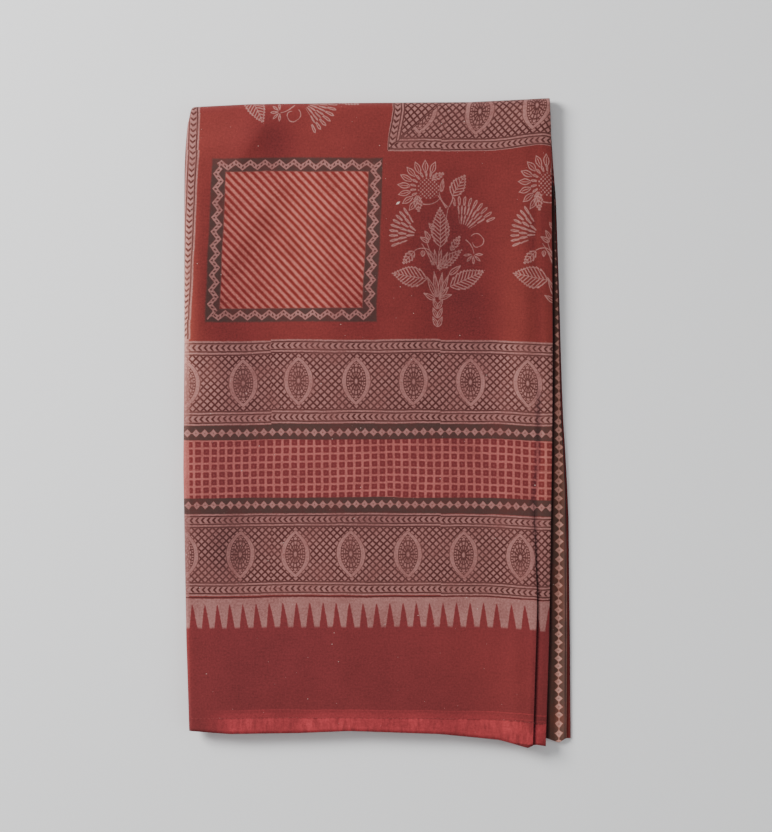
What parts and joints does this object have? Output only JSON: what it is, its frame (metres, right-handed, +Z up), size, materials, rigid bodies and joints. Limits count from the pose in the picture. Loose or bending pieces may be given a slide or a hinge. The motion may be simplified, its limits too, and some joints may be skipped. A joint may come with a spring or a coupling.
{
  "type": "folded bed sheet",
  "caption": "Block-printed cotton double-bed sheet, folded flat into a tall narrow pile, with banded borders, a bordered square and sprigs showing on its front",
  "frame": {"origin": "on the surface the folded sheet lies on, under the middle of its outline", "axes": "+X to the right across the folded sheet, +Y from the hem up to the top fold, +Z up, out of the printed front"},
  "size_m": [0.4198, 0.7016, 0.019],
  "materials": {
    "printed_cotton": "dyed and block-printed plain-weave cotton"
  },
  "bodies": {
    "root": {"bed_sheet": "printed_cotton"}
  },
  "joints": []
}
